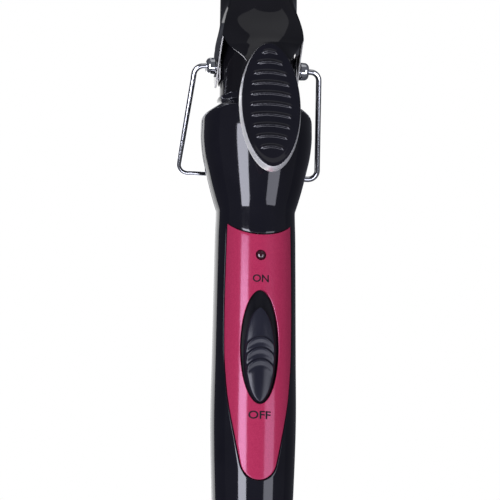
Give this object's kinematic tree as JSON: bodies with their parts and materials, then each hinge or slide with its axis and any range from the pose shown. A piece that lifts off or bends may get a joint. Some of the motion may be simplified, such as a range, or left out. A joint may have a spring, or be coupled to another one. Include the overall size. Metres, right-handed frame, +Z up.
{
  "type": "curling iron",
  "caption": "Slim round curling iron with a sprung clip and thumb lever, a folding wire stand, a flared collar, a slide switch and a turning cord gland.",
  "frame": {"origin": "middle of the underside of the whole iron, lying on its back with the thumb lever up", "axes": "+Y along the barrel to its tip, +Z up out of the lever side, +X to the right"},
  "size_m": [0.0494, 0.34, 0.0557],
  "materials": {
    "black_gloss": "high gloss moulded",
    "clip_enamel": "gloss enamel",
    "barrel_black": "gloss ceramic coat",
    "magenta": "satin gloss pearl",
    "chrome": "polished",
    "lens": "clear gloss",
    "steel": "bright",
    "aluminium": "as extruded",
    "ceramic": "matt",
    "board": "solder mask",
    "heat_resin": "matt",
    "brass": "bright",
    "lead_white": "matt"
  },
  "bodies": {
    "handle": {"barrel_tip": "black_gloss", "handle_front_shell": "black_gloss", "handle_rear_shell": "black_gloss", "barrel_tube": "barrel_black", "face_panel": "magenta", "pivot_bushing_left": "chrome", "pivot_bushing_right": "chrome", "indicator_lamp": "lens", "indicator_lens": "lens", "pivot_saddle": "steel", "clip_spring": "steel", "handle_screw_near": "steel", "handle_screw_far": "steel", "board_screw_near": "steel", "board_screw_far": "steel", "slide_switch": "steel", "heat_spreader_front": "aluminium", "heat_spreader_rear": "aluminium", "heater_plate": "ceramic", "circuit_board": "board", "thermal_fuse": "heat_resin", "barrel_ring": "heat_resin", "contact_brush_live": "brass", "contact_brush_neutral": "brass", "heater_lead_left": "lead_white", "heater_lead_right": "lead_white"},
    "clip": {"clip_blade": "clip_enamel", "thumb_pad": "black_gloss", "pad_screw_near": "steel", "pad_screw_far": "steel"},
    "stand": {"stand_wire": "chrome"},
    "switch": {"switch_knob": "black_gloss", "switch_lever": "lead_white"},
    "swivel": {"cord_gland": "black_gloss", "contact_ring_live": "brass", "contact_ring_neutral": "brass"}
  },
  "joints": [
    {"name": "clip_hinge", "type": "hinge", "parent": "handle", "child": "clip", "pos_m": [0, 0.018, 0.02055], "axis": [1, 0, 0], "range_deg": [0, 19], "stiffness_Nm_per_rad": 0.6, "springref_deg": -9.74, "deforming": ["clip_spring"]},
    {"name": "stand_hinge", "type": "hinge", "parent": "handle", "child": "stand", "pos_m": [0, 0.018, 0.02055], "axis": [1, 0, 0], "range_deg": [0, 120]},
    {"name": "switch_slide", "type": "slide", "parent": "handle", "child": "switch", "axis": [0, 1, 0], "range_m": [0, 0.005]},
    {"name": "cord_swivel", "type": "hinge", "parent": "handle", "child": "swivel", "pos_m": [0, -0.164, 0.01955], "axis": [0, 1, 0], "continuous": true}
  ]
}
